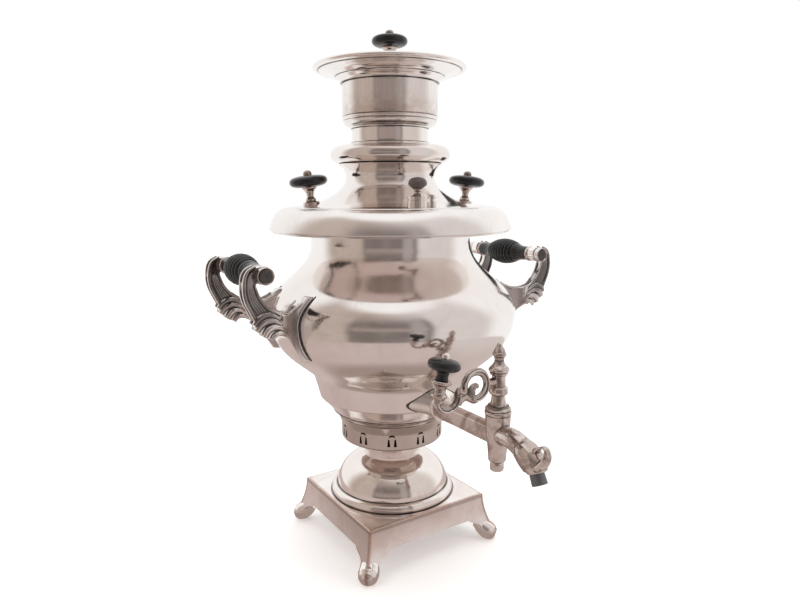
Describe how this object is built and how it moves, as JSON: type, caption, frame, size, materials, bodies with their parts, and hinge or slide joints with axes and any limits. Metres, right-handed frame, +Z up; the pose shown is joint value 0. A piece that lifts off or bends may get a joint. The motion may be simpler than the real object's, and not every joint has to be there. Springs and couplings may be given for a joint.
{
  "type": "samovar",
  "caption": "Charcoal samovar with a vase-shaped vessel, square footed base, key-operated spout tap, two handles, lifting lid and teapot crown.",
  "frame": {"origin": "on the vessel's axis, in the plane of the feet's undersides", "axes": "+Z up along the vessel's axis; the tap points along -Y; the two handles are at -X and +X; the tap's key branch points to -X when the tap is shut"},
  "size_m": [0.3114, 0.3143, 0.4635],
  "materials": {
    "nickel": "polished nickel plate on brass sheet, slightly warm, with fine wipe marks",
    "nickel_satin": "satin nickel plate with vertical streaks",
    "nickel_worn": "nickel plate worn through to a coppery tint at the edges",
    "nickel_cast": "nickel-plated brass casting, dark patina in its hollows",
    "tinned_brass": "tinned brass, dull",
    "cast_grate": "sooted cast iron",
    "dark_nozzle": "oxidised dark grey metal, matte",
    "iron_rod": "turned rod",
    "black_wood": "ebonised turned wood, semi-gloss"
  },
  "bodies": {
    "vessel": {"base_tray": "nickel_worn", "foot_ring": "nickel", "pedestal_bell": "nickel", "vent_ring": "nickel", "grate": "cast_grate", "fire_tube": "tinned_brass", "body_heel": "nickel", "body_belly": "nickel", "body_shoulder": "nickel", "drip_plate": "nickel", "drip_ring": "nickel", "tap_escutcheon": "nickel_cast", "tap_body": "nickel_cast", "tap_nozzle": "dark_nozzle", "handle_bracket_right_front": "nickel_cast", "handle_bracket_right_back": "nickel_cast", "handle_rod_right": "iron_rod", "handle_grip_right": "black_wood", "handle_ferrules_right": "nickel_cast", "handle_caps_right": "nickel_cast", "handle_bracket_left_front": "nickel_cast", "handle_bracket_left_back": "nickel_cast", "handle_rod_left": "iron_rod", "handle_grip_left": "black_wood", "handle_ferrules_left": "nickel_cast", "handle_caps_left": "nickel_cast"},
    "lid": {"lid_bell": "nickel", "lid_skirt": "tinned_brass", "lid_collar": "nickel", "lid_sleeve": "tinned_brass", "lid_knob_stem_left": "nickel_cast", "lid_knob_left": "black_wood", "lid_knob_nut_left": "nickel_cast", "lid_knob_stem_right": "nickel_cast", "lid_knob_right": "black_wood", "lid_knob_nut_right": "nickel_cast", "vent_seat": "nickel_cast", "vent_pin": "nickel_cast"},
    "vent_flap": {"vent_cap": "nickel_cast", "vent_cap_knob": "black_wood"},
    "crown": {"crown_neck": "nickel", "crown_cylinder": "nickel_satin", "crown_flange": "nickel"},
    "damper": {"damper_disc": "nickel", "damper_stem": "nickel_cast", "damper_knob": "black_wood", "damper_nut": "nickel_cast"},
    "tap_key": {"key_plug": "nickel_cast", "key_finial": "nickel_cast", "plug_nut": "nickel_cast", "key_branch": "nickel_cast", "key_seat": "nickel_cast", "key_knob": "black_wood", "key_nut": "nickel_cast"}
  },
  "joints": [
    {"name": "lid_lift", "type": "slide", "parent": "vessel", "child": "lid", "axis": [0, 0, 1], "range_m": [0, 0.15]},
    {"name": "vent_swing", "type": "hinge", "parent": "lid", "child": "vent_flap", "pos_m": [-0.00527, -0.07089, 0.32], "axis": [0, 0, 1], "range_deg": [0, 110]},
    {"name": "crown_lift", "type": "slide", "parent": "lid", "child": "crown", "axis": [0, 0, 1], "range_m": [0, 0.12]},
    {"name": "damper_lift", "type": "slide", "parent": "crown", "child": "damper", "axis": [0, 0, 1], "range_m": [0, 0.1]},
    {"name": "tap_turn", "type": "hinge", "parent": "vessel", "child": "tap_key", "pos_m": [0, -0.149, 0.1444], "axis": [0, 0, 1], "range_deg": [-30, 210]}
  ]
}
